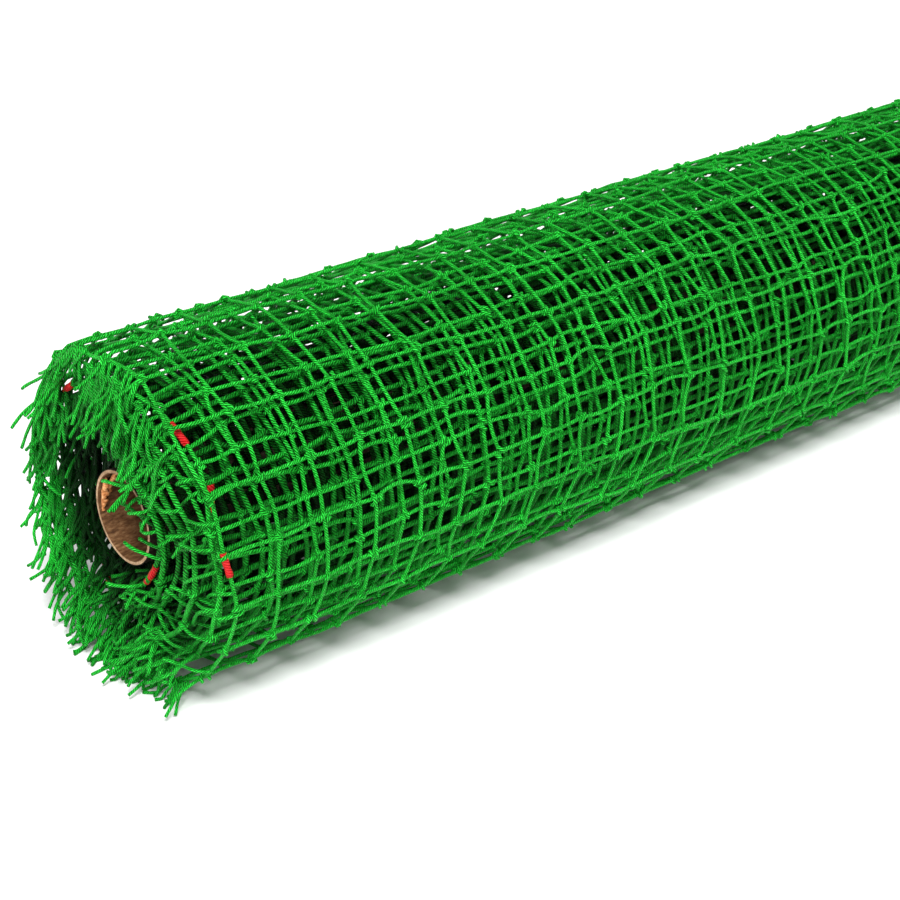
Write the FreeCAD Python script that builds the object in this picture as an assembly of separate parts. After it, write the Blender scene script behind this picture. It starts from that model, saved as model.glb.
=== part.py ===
import FreeCAD, Part
import math
import os

# A roll of knotted square-mesh net on a cardboard core, lying on the floor.
# X runs along the roll, with the near end at -X. Y points back and Z points up.
# Lengths are in millimetres and angles in degrees. Angles round the roll are
# measured about its axis from the back (+Y) over the top (+Z).

# The core
core_bore_radius = 38.0      # a 76 mm (three inch) core
inner_ply_wall = 0.6
board_wall = 2.4
outer_ply_wall = 0.5

# The net
net_width = 1200.0           # from one edge twine to the other
winding_turns = 13
winding_pitch = 8.1          # a twine with the slack that its knots leave
winding_gap = 0.4            # between one turn and the next
core_gap = 0.4               # between the core and the first turn
seam_angle = 20.0            # where each turn is counted from
free_edge_angle = 42.0       # how far the free edge laps over the last whole turn
hinge_gap = 0.4              # between the last whole turn and the free edge
rest_flat_depth = 3.5        # how far the roll's weight flattens its underside

# The cut twine ends that stick out of both ends of the roll
cut_end_length = 30.0
cut_end_taper = 26.0         # the brush is this much smaller at its tip
cut_end_core_clearance = 6.0
cut_end_dish = 22.0          # the brush opens out by this much around the core

# The red metre marks on the twine along the near edge
mark_length = 20.0
mark_width = 6.0
mark_thickness = 5.4
mark_spacing = 1000.0
first_mark = 490.0           # from the inner end of the net
mark_clearance = 0.3

# Worked out from the sizes above
board_inner_radius = core_bore_radius + inner_ply_wall
board_outer_radius = board_inner_radius + board_wall
core_outer_radius = board_outer_radius + outer_ply_wall
winding_start_radius = core_outer_radius + core_gap
turn_wall = winding_pitch - winding_gap
half_net = net_width / 2
half_turns = 2 * winding_turns


def arc_centre(half_turn):
    """Half turns swing about two centres in turn, which makes a smooth spiral."""
    side = 1 if half_turn % 2 else -1
    shift = side * winding_pitch / 4
    angle = math.radians(seam_angle)
    return FreeCAD.Vector(0, shift * math.cos(angle), shift * math.sin(angle))


def arc_radius(half_turn, offset):
    """The radius of a half turn, at an offset outwards from the net's inner face."""
    return winding_start_radius + winding_pitch * (0.25 + half_turn / 2) + offset


def arc_point(half_turn, wound_angle, offset, x):
    angle = math.radians(seam_angle + wound_angle)
    radius = arc_radius(half_turn, offset)
    reach = FreeCAD.Vector(x, radius * math.cos(angle), radius * math.sin(angle))
    return arc_centre(half_turn) + reach


def spiral_edges(start, end, offset, x):
    """Arcs along the winding between two wound angles, one for each half turn."""
    edges = []
    half_turn = int(start // 180)
    while start < end - 1e-6:
        stop = min(end, 180 * (half_turn + 1))
        angles = (start, (start + stop) / 2, stop)
        points = [arc_point(half_turn, angle, offset, x) for angle in angles]
        edges.append(Part.Arc(*points).toShape())
        start = stop
        half_turn += 1
    return edges


def spiral_band(start, end, inner_offset, outer_offset, x_start, x_end):
    """A closed solid of net between two wound angles, two offsets and two places along X."""
    inner = spiral_edges(start, end, inner_offset, x_start)
    outer = spiral_edges(start, end, outer_offset, x_start)
    first_side = Part.makeLine(inner[0].firstVertex().Point, outer[0].firstVertex().Point)
    last_side = Part.makeLine(inner[-1].lastVertex().Point, outer[-1].lastVertex().Point)
    wire = Part.Wire(Part.__sortEdges__(inner + outer + [first_side, last_side]))
    return Part.Face(wire).extrude(FreeCAD.Vector(x_end - x_start, 0, 0))


def tube(inner_radius, outer_radius):
    along = FreeCAD.Vector(1, 0, 0)
    start = FreeCAD.Vector(-half_net, 0, 0)
    outside = Part.makeCylinder(outer_radius, net_width, start, along)
    return outside.cut(Part.makeCylinder(inner_radius, net_width, start, along))


def wound_angle_at(length):
    """The wound angle at a length of net from its inner end."""
    half_turn = 0
    while True:
        radius = arc_radius(half_turn, turn_wall / 2)
        if length < math.pi * radius:
            return 180 * half_turn + math.degrees(length / radius)
        length -= math.pi * radius
        half_turn += 1


def mark_angles():
    """Where each mark starts and ends. One that would reach the free edge is left out."""
    spans = []
    start = first_mark
    while wound_angle_at(start + mark_length + mark_clearance) < 360 * winding_turns:
        spans.append((wound_angle_at(start), wound_angle_at(start + mark_length)))
        start += mark_spacing
    return spans


def metre_mark(span):
    inner_offset = (turn_wall - mark_thickness) / 2
    outer_offset = inner_offset + mark_thickness
    return spiral_band(*span, inner_offset, outer_offset, -half_net, mark_width - half_net)


def mark_pocket(span):
    """Room for a mark, which only rests against the far side of it."""
    inner_offset = (turn_wall - mark_thickness) / 2 - mark_clearance
    outer_offset = turn_wall - inner_offset
    margin = math.degrees(mark_clearance / winding_start_radius)
    start, end = span[0] - margin, span[1] + margin
    return spiral_band(start, end, inner_offset, outer_offset, -half_net, mark_width - half_net)


def net_turn(turn, spans):
    start = 360 * turn
    solid = spiral_band(start, start + 360, 0, turn_wall, -half_net, half_net)
    for span in spans:
        if span[1] > start - 10 and span[0] < start + 370:
            solid = solid.cut(mark_pocket(span))
    return solid


def rest_flat(solid):
    """Cut the underside flat where the roll rests on the floor."""
    corner = FreeCAD.Vector(-net_width, -last_radius, -axis_height - last_radius)
    return solid.cut(Part.makeBox(2 * net_width, 2 * last_radius, last_radius, corner))


def free_edge():
    start = 360 * winding_turns
    hinge_radius = arc_radius(half_turns, 0)
    gap_angle = math.degrees(hinge_gap / hinge_radius)
    end = start + free_edge_angle
    return spiral_band(start + gap_angle, end, 0, turn_wall, -half_net, half_net)


def cut_ends(side):
    """A dished brush of twine ends, on the near side (-1) or the far side (1)."""
    inner_radius = core_outer_radius + cut_end_core_clearance
    outer_radius = arc_radius(half_turns - 2, 0)
    profile = [
        (0, inner_radius),
        (0, outer_radius),
        (cut_end_length * 0.6, outer_radius - cut_end_taper / 3),
        (cut_end_length, outer_radius - cut_end_taper),
        (cut_end_length, inner_radius + cut_end_dish),
        (cut_end_length * 0.3, inner_radius),
    ]
    points = [FreeCAD.Vector(side * (half_net + out), 0, radius) for out, radius in profile]
    face = Part.Face(Part.makePolygon(points + points[:1]))
    return face.revolve(FreeCAD.Vector(0, 0, 0), FreeCAD.Vector(1, 0, 0), 360)


def save(name, solid):
    """Move a solid from the roll's axis to its place over the floor, and write it."""
    placed = solid.copy()
    placed.translate(FreeCAD.Vector(0, axis_y, axis_height))
    placed.exportStep(f"parts/{name}.step")
    print(name, round(placed.Volume), placed.isValid(), len(placed.Solids))


# The last two half turns give the roll's outer sizes, and so its place
last_radius = arc_radius(half_turns - 1, turn_wall)
back = arc_centre(half_turns - 1).y + last_radius
front = arc_centre(half_turns - 2).y - arc_radius(half_turns - 2, turn_wall)
axis_y = -(front + back) / 2
axis_height = last_radius - arc_centre(half_turns - 1).z - rest_flat_depth

os.makedirs("parts", exist_ok=True)

save("core_inner_ply", tube(core_bore_radius, board_inner_radius))
save("core_board", tube(board_inner_radius, board_outer_radius))
save("core_outer_ply", tube(board_outer_radius, core_outer_radius))

marks = mark_angles()
for turn in range(winding_turns - 1):
    save(f"net_turn_{turn + 1:02d}", net_turn(turn, marks))
save(f"net_turn_{winding_turns:02d}", rest_flat(net_turn(winding_turns - 1, marks)))
save("net_free_edge", free_edge())

for number, span in enumerate(marks, 1):
    save(f"metre_mark_{number}", metre_mark(span))
    print("   at", round((seam_angle + span[0]) % 360), "degrees in turn", int(span[0] // 360) + 1)

save("cut_ends_near", cut_ends(-1))
save("cut_ends_far", cut_ends(1))

hinge = arc_point(half_turns, 360 * winding_turns, turn_wall, 0)
print("roll axis: y", round(axis_y, 3), "z", round(axis_height, 3))
print("free edge hinge: y", round(hinge.y + axis_y, 3), "z", round(hinge.z + axis_height, 3))
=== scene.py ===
import math

import bmesh
import bpy
import numpy as np
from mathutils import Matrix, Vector


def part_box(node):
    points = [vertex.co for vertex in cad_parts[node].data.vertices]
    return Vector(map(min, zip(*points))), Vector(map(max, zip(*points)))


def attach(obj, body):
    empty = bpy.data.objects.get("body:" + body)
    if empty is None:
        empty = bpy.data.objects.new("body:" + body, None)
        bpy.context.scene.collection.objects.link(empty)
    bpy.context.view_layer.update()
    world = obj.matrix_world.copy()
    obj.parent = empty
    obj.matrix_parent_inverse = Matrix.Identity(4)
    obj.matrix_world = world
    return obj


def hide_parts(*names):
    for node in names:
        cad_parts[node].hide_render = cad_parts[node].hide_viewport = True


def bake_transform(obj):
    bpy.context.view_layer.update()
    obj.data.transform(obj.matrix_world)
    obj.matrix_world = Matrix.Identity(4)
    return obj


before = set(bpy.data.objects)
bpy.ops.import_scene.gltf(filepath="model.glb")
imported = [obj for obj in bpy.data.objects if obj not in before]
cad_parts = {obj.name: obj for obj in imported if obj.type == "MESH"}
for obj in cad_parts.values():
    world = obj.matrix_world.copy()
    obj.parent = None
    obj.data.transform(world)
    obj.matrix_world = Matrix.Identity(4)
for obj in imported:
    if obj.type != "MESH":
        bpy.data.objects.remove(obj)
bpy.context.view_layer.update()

rng = np.random.default_rng(11)

# where the roll lies, read from the frame
coreLow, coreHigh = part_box("core_board")
axisY, axisZ = (coreLow.y + coreHigh.y) / 2, (coreLow.z + coreHigh.z) / 2
nearEnd, farEnd = coreLow.x, coreHigh.x
netWidth = farEnd - nearEnd
coreRadius = (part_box("core_outer_ply")[1].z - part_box("core_outer_ply")[0].z) / 2
innerPly = 0.0006  # its thickness
boreRadius = (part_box("core_inner_ply")[1].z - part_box("core_inner_ply")[0].z) / 2 - innerPly


def addObject(name, data):
    added = bpy.data.objects.new(name, data)
    bpy.context.scene.collection.objects.link(added)
    return added


def pointAlong(thing, heading):
    # turn a camera or lamp to look along a heading
    thing.rotation_mode = "QUATERNION"
    thing.rotation_quaternion = heading.to_track_quat("-Z", "Y")


def asMesh(name, shape):
    mesh = bpy.data.meshes.new(name)
    shape.to_mesh(mesh)
    shape.free()
    return mesh


camera = {
    "fromNearEnd": Vector((-0.7275, -1.2791, 0.7792)),  # from the middle of the near end
    "azimuth": -40.16,
    "elevation": 26.37,
    "lens": 80,
}


def makeCamera():
    data = bpy.data.cameras.new("camera")
    data.lens = camera["lens"]
    data.sensor_width = 36
    view = addObject("camera", data)
    turn, tilt = math.radians(camera["azimuth"]), math.radians(camera["elevation"])
    back = Vector((math.sin(turn) * math.cos(tilt), -math.cos(turn) * math.cos(tilt), math.sin(tilt)))
    view.location = Vector((nearEnd, axisY, axisZ)) + camera["fromNearEnd"]
    pointAlong(view, -back)
    bpy.context.scene.camera = view


makeCamera()
print("camera placed")


# node helpers that the materials share
def newGroup(name, inputs, outputs):
    group = bpy.data.node_groups.new(name, "ShaderNodeTree")
    for label, value in inputs.items():
        socket = group.interface.new_socket(label, in_out="INPUT", socket_type="NodeSocketFloat")
        socket.default_value = value
    for label in outputs:
        group.interface.new_socket(label, in_out="OUTPUT", socket_type="NodeSocketFloat")
    return group


def addNode(tree, kind, **settings):
    node = tree.nodes.new(kind)
    for name, value in settings.items():
        setattr(node, name, value)
    return node


def mathNode(tree, operation, first, second=None, third=None):
    node = addNode(tree, "ShaderNodeMath", operation=operation)
    for socket, value in zip(node.inputs, (first, second, third)):
        if value is None:
            continue
        if isinstance(value, (int, float)):
            socket.default_value = value
        else:
            tree.links.new(value, socket)
    return node.outputs[0]


def ridges(tree, phase):
    return mathNode(tree, "ABSOLUTE", mathNode(tree, "SINE", mathNode(tree, "MULTIPLY", phase, math.pi)))


def axisDistance(tree, y, z):
    squares = mathNode(tree, "ADD", mathNode(tree, "MULTIPLY", y, y), mathNode(tree, "MULTIPLY", z, z))
    return mathNode(tree, "SQRT", squares)


twineLay = {
    "uneven": 190,         # how finely the lay's unevenness changes along the twine
    "slip": 0.0022,        # metres by which the strands slip along it
    "yarns": 6,            # finer yarns round each twine
    "yarnTurn": -2.6,      # how fast they turn, against the strands
    "yarnHeight": 0.35,
    "fibresAcross": 2.2,
    "fibresAlong": 420,
}


def makeLaidTwine():
    # strands twisted round a twine: U is metres along it, V is once round it
    names = {"Strands": 3, "Spacing": 0.0045, "Fuzz": 0.3}
    group = newGroup("laidTwine", names, ("Height", "Groove", "Fibre"))
    taken = addNode(group, "NodeGroupInput")
    given = addNode(group, "NodeGroupOutput")
    where = addNode(group, "ShaderNodeUVMap")
    split = addNode(group, "ShaderNodeSeparateXYZ")
    group.links.new(where.outputs["UV"], split.inputs[0])
    along, around = split.outputs[0], split.outputs[1]
    uneven = addNode(group, "ShaderNodeTexNoise", noise_dimensions="1D")
    uneven.inputs["Scale"].default_value = twineLay["uneven"]
    group.links.new(along, uneven.inputs["W"])
    slipped = mathNode(group, "MULTIPLY_ADD", uneven.outputs[0], twineLay["slip"], along)
    lay = mathNode(group, "DIVIDE", slipped, taken.outputs["Spacing"])
    phase = mathNode(group, "MULTIPLY_ADD", around, taken.outputs["Strands"], lay)
    strand = ridges(group, phase)
    turned = mathNode(group, "MULTIPLY", lay, twineLay["yarnTurn"])
    yarnPhase = mathNode(group, "MULTIPLY_ADD", around, twineLay["yarns"], turned)
    yarn = ridges(group, yarnPhase)
    streaks = addNode(group, "ShaderNodeCombineXYZ")
    group.links.new(mathNode(group, "MULTIPLY", phase, twineLay["fibresAcross"]), streaks.inputs[0])
    group.links.new(mathNode(group, "MULTIPLY", along, twineLay["fibresAlong"]), streaks.inputs[1])
    fibre = addNode(group, "ShaderNodeTexNoise")
    fibre.inputs["Scale"].default_value = 1.1
    fibre.inputs["Detail"].default_value = 3
    fibre.inputs["Roughness"].default_value = 0.6
    group.links.new(streaks.outputs[0], fibre.inputs["Vector"])
    bundle = mathNode(group, "MULTIPLY_ADD", yarn, twineLay["yarnHeight"], strand)
    fuzzy = mathNode(group, "MULTIPLY_ADD", fibre.outputs[0], taken.outputs["Fuzz"], bundle)
    group.links.new(fuzzy, given.inputs["Height"])
    groove = mathNode(group, "POWER", mathNode(group, "SUBTRACT", 1, strand), 1.5)
    group.links.new(groove, given.inputs["Groove"])
    # the Fibre output is the fibres' own uneven colour plus a painted highlight along each strand's crest
    lowered = mathNode(group, "SUBTRACT", fibre.outputs[0], 0.18)
    crest = mathNode(group, "MULTIPLY_ADD", strand, 0.3, lowered)
    group.links.new(crest, given.inputs["Fibre"])
    return group


def fromAxis(group, taken):
    # where a point is, and its Y and Z from the roll's axis
    where = addNode(group, "ShaderNodeTexCoord")
    split = addNode(group, "ShaderNodeSeparateXYZ")
    group.links.new(where.outputs["Object"], split.inputs[0])
    y = mathNode(group, "SUBTRACT", split.outputs[1], taken.outputs["Middle Y"])
    z = mathNode(group, "SUBTRACT", split.outputs[2], taken.outputs["Middle Z"])
    return split, y, z


def makeWoundPaper():
    # fibres and the slanting butt seam of a ply wound into a tube along X
    names = {"Middle Y": 0, "Middle Z": 0, "Lead": 0.11, "Line": 0.0009, "Grain": 260}
    group = newGroup("woundPaper", names, ("Seam", "Fibre", "Blotch", "Ring"))
    taken = addNode(group, "NodeGroupInput")
    given = addNode(group, "NodeGroupOutput")
    split, y, z = fromAxis(group, taken)
    angle = mathNode(group, "DIVIDE", mathNode(group, "ARCTAN2", z, y), 2 * math.pi)
    unrolled = mathNode(group, "MULTIPLY_ADD", angle, taken.outputs["Lead"], split.outputs[0])
    waved = mathNode(group, "PINGPONG", unrolled, mathNode(group, "MULTIPLY", taken.outputs["Lead"], 0.5))
    group.links.new(mathNode(group, "LESS_THAN", waved, taken.outputs["Line"]), given.inputs["Seam"])
    paperSheet = 0.00048  # the board is rolled up from sheets this thick
    sheetPhase = mathNode(group, "MULTIPLY", axisDistance(group, y, z), 2 * math.pi / paperSheet)
    sheets = mathNode(group, "SINE", sheetPhase)
    group.links.new(mathNode(group, "MULTIPLY_ADD", sheets, 0.5, 0.5), given.inputs["Ring"])
    for label, scale, stretch in (("Fibre", 1.0, 0.3), ("Blotch", 0.12, 1.0)):
        spread = addNode(group, "ShaderNodeCombineXYZ")
        group.links.new(mathNode(group, "MULTIPLY", split.outputs[0], stretch), spread.inputs[0])
        group.links.new(split.outputs[1], spread.inputs[1])
        group.links.new(split.outputs[2], spread.inputs[2])
        noise = addNode(group, "ShaderNodeTexNoise")
        noise.inputs["Detail"].default_value = 5
        noise.inputs["Roughness"].default_value = 0.65
        group.links.new(spread.outputs[0], noise.inputs["Vector"])
        group.links.new(mathNode(group, "MULTIPLY", taken.outputs["Grain"], scale), noise.inputs["Scale"])
        group.links.new(noise.outputs[0], given.inputs[label])
    return group


laidTwine = makeLaidTwine()
woundPaper = makeWoundPaper()


def makeMaterial(name):
    material = bpy.data.materials.new(name)
    material.use_nodes = True
    tree = material.node_tree
    shader = tree.nodes["Principled BSDF"]
    return material, tree, shader


def ramp(tree, value, stops):
    node = addNode(tree, "ShaderNodeValToRGB")
    while len(node.color_ramp.elements) < len(stops):
        node.color_ramp.elements.new(0.5)
    for element, (spot, colour) in zip(node.color_ramp.elements, stops):
        element.position = spot
        element.color = (*colour, 1)
    tree.links.new(value, node.inputs[0])
    return node.outputs[0]


def mixColour(tree, share, first, second, how="MIX"):
    node = addNode(tree, "ShaderNodeMix", data_type="RGBA", blend_type=how)
    for socket, value in ((node.inputs[0], share), (node.inputs[6], first), (node.inputs[7], second)):
        if isinstance(value, (tuple, float, int)):
            socket.default_value = (*value, 1) if isinstance(value, tuple) else value
        else:
            tree.links.new(value, socket)
    return node.outputs[2]


def noiseOn(tree, scale, detail=3):
    where = addNode(tree, "ShaderNodeTexCoord")
    noise = addNode(tree, "ShaderNodeTexNoise")
    noise.inputs["Scale"].default_value = scale
    noise.inputs["Detail"].default_value = detail
    tree.links.new(where.outputs["Object"], noise.inputs["Vector"])
    return noise.outputs[0]


def bumpFrom(tree, height, shader, strength, distance):
    bump = addNode(tree, "ShaderNodeBump")
    bump.inputs["Strength"].default_value = strength
    bump.inputs["Distance"].default_value = distance
    tree.links.new(height, bump.inputs["Height"])
    tree.links.new(bump.outputs[0], shader.inputs["Normal"])


twineLook = {
    # in each twine colour, light is a painted highlight tone, and deep is also the painted shade in the
    # grooves
    "green": {"deep": (0.0, 0.075, 0.002), "mid": (0.0005, 0.32, 0.007), "light": (0.045, 0.98, 0.09)},
    "red": {"deep": (0.55, 0.002, 0.004), "mid": (0.8, 0.008, 0.014), "light": (0.95, 0.05, 0.05)},
    "strands": 4,
    "spacing": 0.0025,     # from one strand to the next, along the twine
    "roughness": 0.42,
    "specular": 0.1,
    "bump": 0.001,
    # core to unlit set the painted shade: the net keeps little of its colour deep in the roll and darkens
    # towards the unlit colour
    "core": 0.05,          # how much of its colour the net keeps, deep in the roll
    "face": 1.0,           # and on the roll's end faces
    "shadeFrom": 0.098,    # metres from the axis
    "shadeTo": 0.146,
    "faceFrom": -0.012,    # metres past the end of the core
    "faceTo": 0.02,
    "unlit": (0.0, 0.003, 0.0),  # the colour that it darkens to
}


def makeDeepShade():
    # painted shade: how much colour is kept, little deep in the roll, more towards the outside and at the
    # ends
    names = {"Middle Y": 0, "Middle Z": 0, "Half Length": 0.6, "Least": 0.1, "Face": 0.5}
    names |= {"From": 0.1, "To": 0.14, "Face From": 0, "Face To": 0.02}
    group = newGroup("deepShade", names, ("Kept",))
    taken = addNode(group, "NodeGroupInput")
    given = addNode(group, "NodeGroupOutput")
    split, y, z = fromAxis(group, taken)
    outward = addNode(group, "ShaderNodeMapRange", interpolation_type="SMOOTHSTEP")
    group.links.new(axisDistance(group, y, z), outward.inputs["Value"])
    for label, source in (("From Min", "From"), ("From Max", "To"), ("To Min", "Least")):
        group.links.new(taken.outputs[source], outward.inputs[label])
    endward = addNode(group, "ShaderNodeMapRange", interpolation_type="SMOOTHSTEP")
    group.links.new(mathNode(group, "ABSOLUTE", split.outputs[0]), endward.inputs["Value"])
    for label, source in (("From Min", "Face From"), ("From Max", "Face To")):
        spot = mathNode(group, "ADD", taken.outputs["Half Length"], taken.outputs[source])
        group.links.new(spot, endward.inputs[label])
    group.links.new(taken.outputs["Face"], endward.inputs["To Max"])
    kept = mathNode(group, "MAXIMUM", outward.outputs[0], endward.outputs[0])
    group.links.new(kept, given.inputs["Kept"])
    return group


deepShade = makeDeepShade()


def twineMaterial(name, tones, fuzz, wound=False):
    material, tree, shader = makeMaterial(name)
    lay = addNode(tree, "ShaderNodeGroup", node_tree=laidTwine)
    lay.inputs["Strands"].default_value = twineLook["strands"]
    lay.inputs["Spacing"].default_value = twineLook["spacing"]
    lay.inputs["Fuzz"].default_value = fuzz
    # the colour runs from deep to light over the fibres, with painted highlights on the strand crests and
    # in bright flecks in place of glints
    stops = ((0.27, tones["deep"]), (0.47, tones["mid"]), (0.67, tones["light"]))
    fibre = ramp(tree, lay.outputs["Fibre"], stops)
    # painted shade: the grooves between the strands are darkened towards the deep tone
    grooved = mixColour(tree, mathNode(tree, "MULTIPLY", lay.outputs["Groove"], 0.88), fibre, tones["deep"])
    shade = ramp(tree, noiseOn(tree, 22), ((0.3, (0.7, 0.76, 0.7)), (0.7, (1.15, 1.15, 1.15))))
    shaded = mixColour(tree, 1.0, grooved, shade, "MULTIPLY")
    # painted shade: this copy darkens towards the unlit colour deep in the roll, keeping its colour towards
    # the outside and at the end faces
    if wound:
        deep = addNode(tree, "ShaderNodeGroup", node_tree=deepShade)
        for label, value in (
            ("Middle Y", axisY),
            ("Middle Z", axisZ),
            ("From", twineLook["shadeFrom"]),
            ("To", twineLook["shadeTo"]),
            ("Least", twineLook["core"]),
            ("Face", twineLook["face"]),
            ("Face From", twineLook["faceFrom"]),
            ("Face To", twineLook["faceTo"]),
            ("Half Length", netWidth / 2),
        ):
            deep.inputs[label].default_value = value
        shaded = mixColour(tree, deep.outputs["Kept"], twineLook["unlit"], shaded)
    tree.links.new(shaded, shader.inputs["Base Color"])
    rough = mathNode(tree, "MULTIPLY_ADD", lay.outputs["Fibre"], 0.3, twineLook["roughness"] - 0.15)
    tree.links.new(rough, shader.inputs["Roughness"])
    shader.inputs["Specular IOR Level"].default_value = twineLook["specular"]
    bumpFrom(tree, lay.outputs["Height"], shader, 1.0, twineLook["bump"])
    return material


greenTwine = twineMaterial("greenTwine", twineLook["green"], 0.5)
# a painted shade copy of the green twine, for the wound turns and the cut ends
paintedShadeTwine = twineMaterial("greenTwinePaintedShade", twineLook["green"], 0.5, True)
redTwine = twineMaterial("redTwine", twineLook["red"], 0.2)

paperLook = {
    "liner": {"dark": (0.06, 0.026, 0.01), "mid": (0.19, 0.09, 0.036), "light": (0.33, 0.19, 0.09)},
    "board": {"dark": (0.26, 0.15, 0.075), "mid": (0.5, 0.33, 0.19), "light": (0.68, 0.5, 0.33)},
    "wrap": {"dark": (0.012, 0.008, 0.004), "mid": (0.03, 0.022, 0.012), "light": (0.06, 0.042, 0.024)},
    "seam": 0.0009,        # how wide the ply's butt seam shows
    "grain": 420,
    "torn": {"dark": (0.22, 0.06, 0.015), "mid": (0.6, 0.24, 0.08), "light": (0.86, 0.5, 0.25)},
}


def paperMaterial(name, tones, lead, rings):
    material, tree, shader = makeMaterial(name)
    paper = addNode(tree, "ShaderNodeGroup", node_tree=woundPaper)
    for label, value in (
        ("Middle Y", axisY),
        ("Middle Z", axisZ),
        ("Lead", lead),
        ("Line", paperLook["seam"]),
        ("Grain", paperLook["grain"]),
    ):
        paper.inputs[label].default_value = value
    stops = ((0.3, tones["dark"]), (0.5, tones["mid"]), (0.68, tones["light"]))
    fibre = ramp(tree, paper.outputs["Fibre"], stops)
    blotch = ramp(tree, paper.outputs["Blotch"], ((0.35, (0.55, 0.5, 0.46)), (0.62, (1.1, 1.1, 1.1))))
    stained = mixColour(tree, 1.0, fibre, blotch, "MULTIPLY")
    ringShare = mathNode(tree, "MULTIPLY", paper.outputs["Ring"], rings)
    layered = mixColour(tree, ringShare, stained, tones["dark"])
    seamed = mixColour(tree, paper.outputs["Seam"], layered, tones["dark"])
    tree.links.new(seamed, shader.inputs["Base Color"])
    rough = mathNode(tree, "MULTIPLY_ADD", paper.outputs["Fibre"], 0.2, 0.7)
    tree.links.new(rough, shader.inputs["Roughness"])
    shader.inputs["Specular IOR Level"].default_value = 0.2
    height = mathNode(tree, "SUBTRACT", paper.outputs["Fibre"], paper.outputs["Seam"])
    bumpFrom(tree, height, shader, 0.8, 0.0003)
    return material


def dressCore():
    for node, tones, lead, rings in (
        ("core_inner_ply", "liner", 0.13, 0.0),
        ("core_board", "board", 0.12, 0.45),
        ("core_outer_ply", "wrap", 0.11, 0.0),
    ):
        for slotOn in bpy.data.objects[node].material_slots:
            slotOn.material = paperMaterial(node, paperLook[tones], lead, rings)


dressCore()
print("materials made")

# the winding: where any point of the flat net lies on the roll
winding = {
    "turns": 13,
    "pitch": 0.0081,       # one turn above the next
    "middle": 0.00425,     # from the core to the middle of the first turn
    "seam": 20.0,          # degrees up from the back, where turns are counted from
    "freeEdge": 42.0,      # degrees that the free edge laps over the last whole turn
    "sway": 0.006,         # how far turns stray sideways
    "settle": 0.0072,      # how far the middle turns press outwards over the top
}

seamAngle = math.radians(winding["seam"])
halfCount = 2 * winding["turns"] + 1
arcRadius = coreRadius + winding["middle"] + winding["pitch"] * (0.25 + np.arange(halfCount) / 2)
arcStart = np.concatenate([[0], np.cumsum(math.pi * arcRadius)])
netLength = arcStart[-2] + math.radians(winding["freeEdge"]) * arcRadius[-1]

ends = {
    "jut": 0.013,          # how far the top of the roll juts out past the core
    "hollow": 0.034,       # how far the turns next to the core are drawn in, at the back
    "droop": 0.017,        # how much of the net bends over at its edge
    "bendRadius": 0.012,
    "reach": 0.16,         # how far along the roll an end's shape is felt
    "farTurned": 0.8,      # radians that the far end's shape is turned against the near end's
    "slump": 0.013,        # the turns inside the last one lift off it under the near end
    "slumpMiddle": 232,    # degrees round the roll where they do so most
    "slumpSpread": 42,
    "slumpReach": 0.1,
}


def edgeShift(angle, depth):
    jut = ends["jut"] * np.clip(np.sin(angle), 0, 1) ** 1.5
    hollow = ends["hollow"] * (1 - depth) ** 1.2 * np.clip(np.cos(angle) + 0.7, 0, 1.2)
    return hollow - jut


def bendOver(angle, past):
    # past is how far a point of net lies beyond the line where the edge starts to bend over
    cosine, sine = np.cos(angle), np.sin(angle)
    inward = 0.25 + 0.3 * np.clip(-cosine, 0, 1)
    down = 0.8 * np.clip(sine + 0.6, 0, 1)
    towardY, towardZ = -cosine * inward, -sine * inward - down
    size = np.hypot(towardY, towardZ) + 1e-6
    most = np.radians(np.clip(38 + 30 * cosine + 24 * sine, 8, 80))
    turned = np.clip(past / ends["bendRadius"], 0, most)
    straight = np.clip(past - ends["bendRadius"] * most, 0, None)
    out = ends["bendRadius"] * np.sin(turned) + straight * np.cos(turned)
    over = ends["bendRadius"] * (1 - np.cos(turned)) + straight * np.sin(turned)
    return out, over * towardY / size, over * towardZ / size


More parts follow.
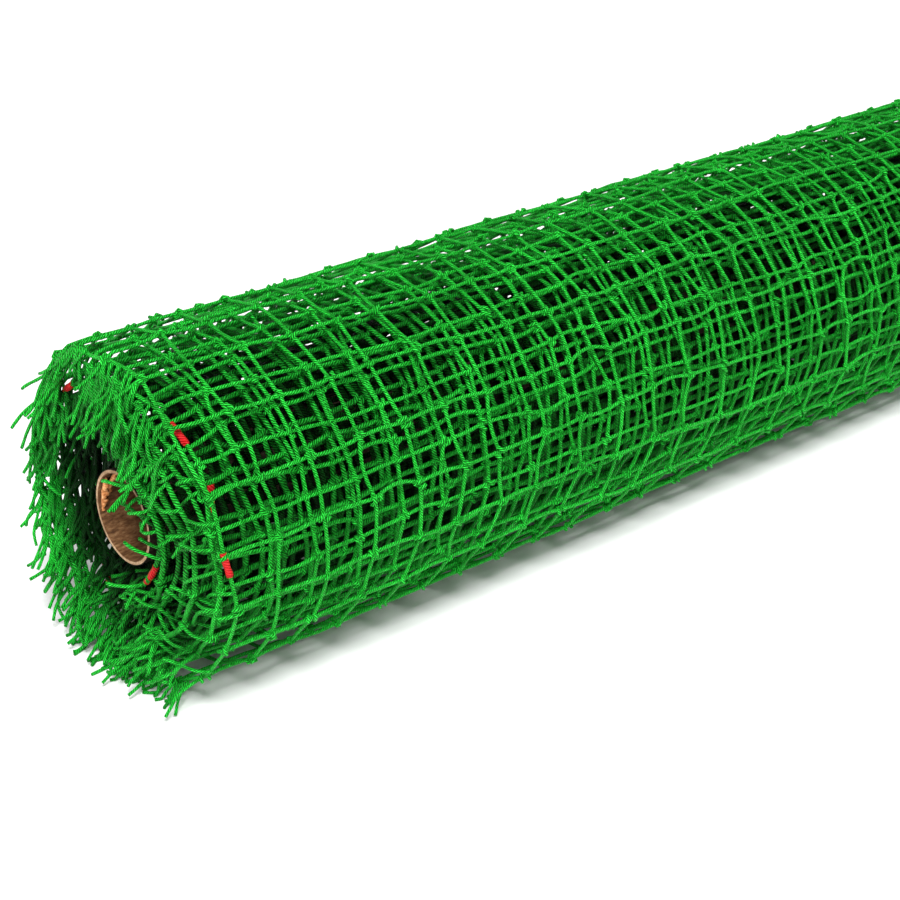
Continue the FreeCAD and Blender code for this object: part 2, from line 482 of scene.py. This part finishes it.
def place(along, across, out):
    half = np.clip(np.searchsorted(arcStart, along, side="right") - 1, 0, halfCount - 1)
    swing = (along - arcStart[half]) / arcRadius[half]
    angle = seamAngle + math.pi * half + swing
    turnsOn = (half + swing / math.pi) / 2
    depth = np.clip(turnsOn / winding["turns"], 0, 1)
    cosine, sine = np.cos(angle), np.sin(angle)
    sway = winding["sway"] * (np.sin(turnsOn * 2.7) + 0.6 * np.sin(turnsOn * 1.13 + 1))
    nearShare, farShare = np.exp(-across / ends["reach"]), np.exp(-(netWidth - across) / ends["reach"])
    nearShift, farShift = edgeShift(angle, depth), edgeShift(angle + ends["farTurned"], depth)
    x = across + sway + nearShift * nearShare - farShift * farShare
    offMiddle = np.abs(np.degrees(angle) % 360 - ends["slumpMiddle"]) / ends["slumpSpread"]
    slump = np.clip(1 - offMiddle, 0, 1) * np.exp(-(np.clip(across, 0, 1) / ends["slumpReach"]) ** 2)
    inner = np.clip((winding["turns"] - 0.75 - turnsOn) * 3, 0, 1) * np.clip(depth * 2 - 0.6, 0, 1)
    shift = np.where(half % 2, 1, -1) * winding["pitch"] / 4
    settle = winding["settle"] * np.sin(math.pi * depth**2.2) * np.clip(0.55 + 0.6 * sine, 0.1, 1)
    radius = arcRadius[half] + out + settle - ends["slump"] * slump * inner
    y = axisY + shift * math.cos(seamAngle) + radius * cosine
    z = axisZ + shift * math.sin(seamAngle) + radius * sine
    bendShare = np.clip(0.35 + 0.7 * cosine + 0.7 * sine, 0, 1)
    nearLine = nearShift + ends["droop"] * bendShare
    farLine = netWidth - farShift - ends["droop"] * bendShare
    nearOut, nearY, nearZ = bendOver(angle, np.clip(nearLine - x, 0, None))
    farOut, farY, farZ = bendOver(angle, np.clip(x - farLine, 0, None))
    x = nearEnd + np.clip(x, nearLine, farLine) - nearOut + farOut
    points = np.stack([x, y + nearY + farY, z + nearZ + farZ], axis=-1)
    points[..., 2] = np.maximum(points[..., 2], net["twine"] / 2)
    return points


def drift(first, second, scale, seed):
    # smooth wandering from a few waves, about -1 to 1
    local = np.random.default_rng(seed)
    total = 0
    for _ in range(5):
        heading = local.uniform(0, 2 * math.pi)
        wave = 2 * math.pi / (scale * local.uniform(0.6, 1.6))
        along = first * math.cos(heading) + second * math.sin(heading)
        total = total + np.sin(wave * along + local.uniform(0, 6.28))
    return total / 2.6


# the net: knots first, then the twines between them
net = {
    "mesh": 0.0505,        # knot to knot, round the roll
    "columns": 27,         # knots in each row
    "twine": 0.0033,       # through the twine
    "wander": 0.0045,      # slow drift of whole rows
    "jitter": 0.0014,      # each knot by itself
    "zigzag": 0.0018,      # every other knot to one side
    "lift": (-0.0012, 0.0013),  # each knot off the roll, least and most
    "flap": -0.0044,       # the free edge, off the roll
    "taut": 0.0021,        # how far a hoop twine dips between its knots
    "bow": 0.0017,         # slack between two knots
    "inner": 1.7,          # how much wider the inner turns' twine is drawn, so that no light comes through
    "thinning": 0.15,      # the three turns outside those come down to the true width in steps of this
    # the least share of the flat net that a sheet's area may be declared as; the twine covers about 0.15
    "declared": 0.3,
}


rowCount = round(netLength / net["mesh"]) + 1
columnCount = net["columns"]
rowAlong = np.arange(rowCount) * netLength / (rowCount - 1)
rows, columns = np.meshgrid(np.arange(rowCount), np.arange(columnCount), indexing="ij")
knotAlong = rowAlong[rows]
knotAcross = net["twine"] / 2 + columns * (netWidth - net["twine"]) / (columnCount - 1)
zigzag = np.where((rows + columns) % 2, 1, -1)
loose = 1 + 1.3 * (np.exp(-knotAcross / 0.03) + np.exp(-(netWidth - knotAcross) / 0.03))
turnRows = [int(np.searchsorted(rowAlong, arcStart[2 * turn])) for turn in range(winding["turns"] + 1)]
flap = np.where(rows >= turnRows[-1], net["flap"], 0)
driftAlong = net["wander"] * drift(knotAlong, knotAcross, 0.33, 3)
driftAcross = net["wander"] * drift(knotAlong, knotAcross, 0.28, 4)
strayAlong = rng.normal(0, net["jitter"], rows.shape) * loose
strayAcross = rng.normal(0, net["jitter"], rows.shape)
knots = np.stack(
    [
        knotAlong + driftAlong + strayAlong,
        knotAcross + driftAcross + zigzag * net["zigzag"] + strayAcross,
        rng.uniform(*net["lift"], rows.shape) + flap,
    ],
    axis=-1,
)

# where the near edge is pushed into the roll, or pulled out of it: metres along the net, and metres in
edgePushes = {
    "places": ((1.5, 0.02), (2.5, 0.02), (3.5, 0.024), (4.5, 0.02), (5.5, -0.017), (6.5, 0.012)),
    "spread": 0.05,
}
for spot, inwards in edgePushes["places"]:
    knots[:, 0, 1] += inwards * np.exp(-(((rowAlong - spot) / edgePushes["spread"]) ** 2))
knots[..., 0] = np.clip(knots[..., 0], 0, netLength)

# each twine's slack between two knots: sideways, and off the roll
hoopBow = rng.normal(0, net["bow"], (rowCount, columnCount, 2)) * (1, 0.4)
longBow = rng.normal(0, net["bow"], (rowCount, columnCount, 2)) * (1, 0.4)


def spanTwine(nodes, bows, steps, lateral):
    share = np.arange(steps) / steps
    bow = np.zeros((len(nodes) - 1, 1, 3))
    bow[:, 0, lateral] = bows[: len(nodes) - 1, 0]
    bow[:, 0, 2] = bows[: len(nodes) - 1, 1]
    if lateral == 1:
        bow[:, 0, 2] -= tautness(nodes[:-1, 0])
    start, end = nodes[:-1, None, :], nodes[1:, None, :]
    points = start + share[None, :, None] * (end - start) + np.sin(math.pi * share)[None, :, None] * bow
    return place(*np.concatenate([points.reshape(-1, 3), nodes[-1:]]).T)


def tautness(along):
    # a hoop twine is pulled nearly straight between its knots, so it dips below the curve
    return net["taut"] * np.clip((along / netLength - 0.3) * 3, 0, 1)


def unit(vectors):
    return vectors / (np.linalg.norm(vectors, axis=-1, keepdims=True) + 1e-9)


knotShape = {"wraps": 1.45, "halfLength": 0.0042, "halfWidth": 0.0036, "halfHeight": 0.0028}


def knotLoops(centre, alongWay, acrossWay, steps):
    # each knot is the twine wrapped once and a half round the crossing
    outWay = unit(np.cross(acrossWay, alongWay))
    count = len(centre)
    lean = np.where(rng.random(count) < 0.5, 1, -1) * rng.normal(0.8, 0.3, count)
    axle = np.cos(lean)[:, None] * alongWay + np.sin(lean)[:, None] * acrossWay
    side = -np.sin(lean)[:, None] * alongWay + np.cos(lean)[:, None] * acrossWay
    wraps = np.linspace(0, 2 * math.pi * knotShape["wraps"], steps)
    turned = wraps[None, :] + rng.uniform(0, 6.28, count)[:, None]
    run = np.linspace(-knotShape["halfLength"], knotShape["halfLength"], steps)[None, :, None]
    size = rng.uniform(0.85, 1.2, count)[:, None, None]
    sideways = knotShape["halfWidth"] * np.cos(turned)[..., None] * side[:, None, :]
    outwards = knotShape["halfHeight"] * np.sin(turned)[..., None] * outWay[:, None, :]
    points = centre[:, None, :] + size * (run * axle[:, None, :] + (sideways + outwards))
    points[..., 2] = np.maximum(points[..., 2], net["twine"] / 2)
    return list(points)


def netKnots(nodes, steps):
    nudge = 0.002  # a step along or across the net, to see which way it runs
    centre = place(*nodes.T)
    alongWay = unit(place(nodes[:, 0] + nudge, nodes[:, 1], nodes[:, 2]) - centre)
    acrossWay = unit(place(nodes[:, 0], nodes[:, 1] + nudge, nodes[:, 2]) - centre)
    return knotLoops(centre, alongWay, acrossWay, steps)


def twineMesh(paths, thickness, roundness):
    # curves with a round bevel, as a mesh whose U is metres along the twine
    curve = bpy.data.curves.new("twine", "CURVE")
    curve.dimensions = "3D"
    curve.bevel_depth = thickness / 2
    curve.bevel_resolution = roundness
    curve.use_fill_caps = True
    length = 0
    for points in paths:
        spline = curve.splines.new("POLY")
        spline.points.add(len(points) - 1)
        spline.points.foreach_set("co", np.c_[points, np.ones(len(points))].ravel())
        uneven = np.sin(np.arange(len(points)) * 1.7 + rng.uniform(0, 6))
        spline.points.foreach_set("radius", 1 + 0.07 * uneven)
        length += np.linalg.norm(np.diff(points, axis=0), axis=1).sum() / len(paths)
    holder = addObject("twine", curve)
    mesh = bpy.data.meshes.new_from_object(holder)
    bpy.data.objects.remove(holder)
    bpy.data.curves.remove(curve)
    uv = np.zeros(len(mesh.loops) * 2, np.float32)
    mesh.uv_layers[0].data.foreach_get("uv", uv)
    uv[0::2] *= length
    mesh.uv_layers[0].data.foreach_set("uv", uv)
    return mesh


weldWithin = 0.000002
lowestPoint = 0.0002  # above the ground


def joinTwines(name, meshes, material):
    whole = bmesh.new()
    for mesh in meshes:
        whole.from_mesh(mesh)
        bpy.data.meshes.remove(mesh)
    bmesh.ops.remove_doubles(whole, verts=whole.verts, dist=weldWithin)
    for vertex in whole.verts:
        vertex.co.z = max(vertex.co.z, lowestPoint)
    for face in whole.faces:
        face.smooth = True
    mesh = asMesh(name, whole)
    mesh.materials.append(material)
    return addObject(name, mesh)


def turnDetail(turn):
    # steps between knots, roundness of the twine, steps round a knot, how thick the twine is
    if turn >= winding["turns"] - 2:
        return 7, 2, 8, 1
    if turn >= winding["turns"] - 5:
        return 6, 1, 8, 1 + net["thinning"] * (winding["turns"] - 2 - turn)
    return 5, 0, 7, net["inner"]


# red sleeves on the near edge twine, one for each metre of net
marks = {"first": 0.49, "spacing": 1.0, "length": 0.021, "thickness": 0.0057, "count": 8}


def edgeTwineAt(along):
    # the near edge twine's own line, slack and all
    edge = knots[:, 0]
    row = np.clip(np.searchsorted(edge[:, 0], along) - 1, 0, rowCount - 2)
    share = (along - edge[row, 0]) / (edge[row + 1, 0] - edge[row, 0])
    line = edge[row] + share[:, None] * (edge[row + 1] - edge[row])
    bulge = np.sin(math.pi * share)
    line[:, 1] += bulge * hoopBow[row, 0, 0]
    line[:, 2] += bulge * (hoopBow[row, 0, 1] - tautness(edge[row, 0]))
    return place(*line.T)


def markPath(number):
    start = marks["first"] + number * marks["spacing"]
    return edgeTwineAt(np.linspace(start, start + marks["length"], 8))


def makeMarks():
    for number in range(marks["count"]):
        sleeve = twineMesh([markPath(number)], marks["thickness"], 3)
        mark = joinTwines(f"metreMark{number + 1}", [sleeve], redTwine)
        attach(mark, "roll")
        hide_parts(f"metre_mark_{number + 1}")


makeMarks()
print("metre marks made")

# the brushes of cut twine ends
cutEnds = {
    "shortest": 0.02,
    "longest": 0.048,
    "each": 9,             # ends to each row of the net, tangled along its edge
    "atFront": 0.17,       # the share of them where they fold in across the front
    "bend": 0.010,         # how soon an end turns to hang or fold in
    "stray": 0.26,
    "crinkle": 0.17,        # how much an end wanders along its length
    "steps": 9,
    "folded": 0.085,       # the longest of those folded in across the front
    "knotted": 0.058,      # an end longer than this has a knot in it
    "clearance": 0.0062,   # how far from a mark in sight an end stays
    "rooted": 0.006,       # the length of net that gives an end its first heading
    "mouthGap": 0.002,     # an end this near the core counts as lying over its mouth
    "mouthBack": 0.004,    # how far past the axis an end folded in from the front may reach
    "alike": 0.012,        # ends are meshed together in steps of this length
}


def looseEnds(row, column, side):
    # paths of the ends that start at one row's edge knot
    count = cutEnds["each"]
    share = np.concatenate([[0], rng.uniform(0, 1, count - 1)])[:, None]
    start = knots[row, column] + share * (knots[min(row + 1, rowCount - 1), column] - knots[row, column])
    edge = place(*start.T)
    back = place(start[:, 0], start[:, 1] - side * cutEnds["rooted"], start[:, 2])
    y, z = edge[:, 1] - axisY, edge[:, 2] - axisZ
    radius = np.hypot(y, z)
    cosine, sine = y / radius, z / radius
    low = np.clip(-1.6 * sine - 0.75, 0, 1)
    front = np.clip(-1.5 * cosine - 0.2, 0, 1) * (1 - low)
    rest = 1 - low - front
    foldedIn = np.stack([0 * front, -cosine, -0.75 * sine - 0.1], axis=1) * front[:, None]
    laidOut = np.array([side * 0.45, 0, -0.6]) * low[:, None]
    hanging = np.array([side * 0.06, 0, -1]) * rest[:, None]
    target = unit(foldedIn + laidOut + hanging + rng.normal(0, cutEnds["stray"], (count, 3)) * (0.5, 1, 1))
    length = rng.uniform(cutEnds["shortest"], cutEnds["longest"], count)
    length = length * (0.7 + 0.4 * radius / arcRadius[-1]) * (1 - 0.25 * low)
    if side < 0 and row > turnRows[-3] and front[0] > 0.3 and rng.random() < 0.5:
        length[0] = cutEnds["folded"] * rng.uniform(0.75, 1.1)
    heading = unit(edge - back)
    step = (length / cutEnds["steps"])[:, None]
    pull = 1 - np.exp(-step / cutEnds["bend"])
    path = [edge]
    for _ in range(cutEnds["steps"]):
        heading = unit(heading + (target - heading) * pull)
        point = path[-1] + heading * step
        point[:, 2] = np.maximum(point[:, 2], net["twine"] / 2)
        path.append(point)
        target = target + rng.normal(0, cutEnds["crinkle"], target.shape)
    kept = rng.random(count) > (1 - cutEnds["atFront"]) * np.clip(front * 1.5 + low * 0.15, 0, 1)
    found = zip(np.stack(path, axis=1), front, kept)
    return [trimAtMouth(line, fromFront > 0.5) for line, fromFront, keep in found if keep]


def trimAtMouth(line, fromFront):
    # only ends folded in from the front lie across the mouth of the core
    away = np.hypot(line[:, 1] - axisY, line[:, 2] - axisZ)
    inMouth = away < coreRadius + cutEnds["mouthGap"]
    if fromFront:
        inMouth &= line[:, 1] > axisY + cutEnds["mouthBack"]
    return line[: np.argmax(inMouth)] if inMouth.any() else line


towardViewer = np.array(camera["fromNearEnd"].normalized())
markPoints = np.concatenate([markPath(number)[2:6] for number in (0, 5, 6, 7)])


def clearOfMarks(line):
    # whether an end leaves the marks in sight from the near end
    apart = line[1:, None] - markPoints[None]
    ahead = apart @ towardViewer
    aside = np.linalg.norm(apart - ahead[..., None] * towardViewer, axis=2)
    return np.where(ahead > -0.002, aside, 1).min() > cutEnds["clearance"]


def brush(column, side, firstRow, lastRow):
    everyEnd = [line for row in range(firstRow, lastRow) for line in looseEnds(row, column, side)]
    lines = [line for line in everyEnd if len(line) > 3]
    if side < 0:
        lines = [line for line in lines if clearOfMarks(line)]
    groups = {}
    for line in lines:
        groups.setdefault(int(np.linalg.norm(line[-1] - line[0]) / cutEnds["alike"]), []).append(line)
    meshes = [twineMesh(paths, net["twine"] * 0.9, 1) for paths in groups.values()]
    long = [line for line in lines if np.linalg.norm(line[-1] - line[0]) > cutEnds["knotted"]]
    if long:
        centre = np.stack([line[6] for line in long])
        alongWay = unit(np.stack([line[7] - line[5] for line in long]))
        acrossWay = unit(np.cross(alongWay, (side, 0.1, 0)))
        meshes.append(twineMesh(knotLoops(centre, alongWay, acrossWay, 8), net["twine"], 1))
    return meshes


def netPart(name, firstRow, lastRow, detail, extra=()):
    # some rows of the net as one piece: twines along the roll, twines round it, and knots
    steps, roundness, knotSteps, swell = detail
    hoopRows = slice(firstRow, min(lastRow + 1, rowCount))
    long = [spanTwine(knots[row], longBow[row], steps, 0) for row in range(firstRow, lastRow)]
    hoops = [
        spanTwine(knots[hoopRows, column], hoopBow[hoopRows, column], steps, 1)
        for column in range(columnCount)
    ]
    meshes = [twineMesh(group, net["twine"] * swell, roundness) for group in (long, hoops)]
    bulk = knots[firstRow:lastRow].reshape(-1, 3)
    meshes.append(twineMesh(netKnots(bulk, knotSteps), net["twine"] * 1.04, min(roundness, 1)))
    return joinTwines(name, meshes + list(extra), greenTwine if extra else paintedShadeTwine)


lastWhole = turnRows[-1] - 1
brushes = {
    "cutEndsNear": ("cut_ends_near", 0, -1),
    "cutEndsFar": ("cut_ends_far", columnCount - 1, 1),
}


def makeBrushes():
    for name, (node, column, side) in brushes.items():
        # the cut ends take the same painted shade as the wound net
        piece = joinTwines(name, brush(column, side, 0, lastWhole), paintedShadeTwine)
        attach(piece, "roll")
        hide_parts(node)
        print(name, len(piece.data.polygons), "faces")


def makeTurns():
    faces = 0
    for turn in range(winding["turns"]):
        lastRow = turnRows[turn + 1] - (turn + 1 == winding["turns"])
        piece = netPart(f"netTurn{turn + 1:02d}", turnRows[turn], lastRow, turnDetail(turn))
        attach(piece, "roll")
        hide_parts(f"net_turn_{turn + 1:02d}")
        faces += len(piece.data.polygons)
    print("net wound:", faces, "faces")


def makeFreeEdge():
    nearFringe = brush(0, -1, lastWhole, rowCount)
    farFringe = brush(columnCount - 1, 1, lastWhole, rowCount)
    detail = turnDetail(winding["turns"] - 1)
    freeEdge = netPart("netFreeEdge", lastWhole, rowCount, detail, nearFringe + farFringe)
    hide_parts("net_free_edge")
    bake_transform(freeEdge)


makeBrushes()
makeTurns()
makeFreeEdge()
print("free edge made")

# curls of the core's liner that have come away just inside the near end
tornLiner = {
    # each curl's first and last degrees, its size and how far in it lies
    "curls": ((-14.0, 44.0, 0.0029, 0.0012), (0.0, 62.0, 0.0024, 0.0062)),
    "rolled": 290.0,       # degrees that each curl is rolled up
    "thickness": 0.0005,
}


def makeTornLiner():
    torn = bmesh.new()
    for start, end, size, inside in tornLiner["curls"]:
        made = bmesh.ops.create_grid(torn, x_segments=34, y_segments=12, size=0.5)
        for vertex in made["verts"]:
            share, rolled = vertex.co.x + 0.5, (vertex.co.y + 0.5) * math.radians(tornLiner["rolled"])
            angle = math.radians(start + share * (end - start))
            ragged = 1 + 0.14 * math.sin(share * 23 + rolled) + 0.1 * math.sin(share * 51 + 1)
            bend = size * math.sin(math.pi * (0.06 + 0.88 * share)) ** 0.6 * ragged
            radius = boreRadius - 0.0009 - bend * (1 - math.cos(rolled))
            x = nearEnd + inside + bend * (1 + math.sin(rolled))
            vertex.co = (x, axisY + radius * math.cos(angle), axisZ + radius * math.sin(angle))
    bmesh.ops.recalc_face_normals(torn, faces=torn.faces)
    bmesh.ops.solidify(torn, geom=torn.faces[:], thickness=tornLiner["thickness"])
    for face in torn.faces:
        face.smooth = True
    mesh = asMesh("tornLiner", torn)
    mesh.materials.append(paperMaterial("tornLiner", paperLook["torn"], 0.13, 0.0))
    piece = addObject("tornLiner", mesh)
    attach(piece, "roll")


makeTornLiner()
print("torn liner made")


floorLook = {"reach": 12, "colour": (0.95, 0.95, 0.95, 1), "roughness": 0.9}


def makeFloor():
    plane = bmesh.new()
    bmesh.ops.create_grid(plane, x_segments=1, y_segments=1, size=floorLook["reach"])
    mesh = asMesh("floor", plane)
    material, tree, shader = makeMaterial("paleFloor")
    shader.inputs["Base Color"].default_value = floorLook["colour"]
    shader.inputs["Roughness"].default_value = floorLook["roughness"]
    mesh.materials.append(material)
    floor = addObject("floor", mesh)


light = {
    "world": 0.45,
    "sun": 3.95,
    "sunFrom": Vector((-0.9, -1.5, 2.6)),
    "softness": 22.0,      # degrees across, as the sun is seen
    "side": 20,            # watts
    "sideFrom": Vector((-3.0, -0.6, 1.4)),
    "sideAim": Vector((-0.5, 0, 0.15)),
    "sideSize": 1.4,
}


def makeSoftbox():
    data = bpy.data.lights.new("side", "AREA")
    data.shape = "RECTANGLE"
    data.size = data.size_y = light["sideSize"]
    data.energy = light["side"]
    lamp = addObject("side", data)
    lamp.location = light["sideFrom"]
    pointAlong(lamp, light["sideAim"] - light["sideFrom"])


def makeLight():
    world = bpy.data.worlds.new("studio")
    bpy.context.scene.world = world
    world.use_nodes = True
    tree = world.node_tree
    seen = addNode(tree, "ShaderNodeLightPath")
    added = 1 - light["world"]  # the background is seen white
    strength = mathNode(tree, "MULTIPLY_ADD", seen.outputs["Is Camera Ray"], added, light["world"])
    tree.nodes["Background"].inputs[0].default_value = (1, 1, 1, 1)
    tree.links.new(strength, tree.nodes["Background"].inputs[1])
    data = bpy.data.lights.new("key", "SUN")
    data.energy = light["sun"]
    data.angle = math.radians(light["softness"])
    pointAlong(addObject("key", data), -light["sunFrom"])
    makeSoftbox()
    bpy.context.scene.view_settings.view_transform = "Standard"
    bpy.context.scene.view_settings.look = "None"


makeFloor()
makeLight()
print("floor and light made")
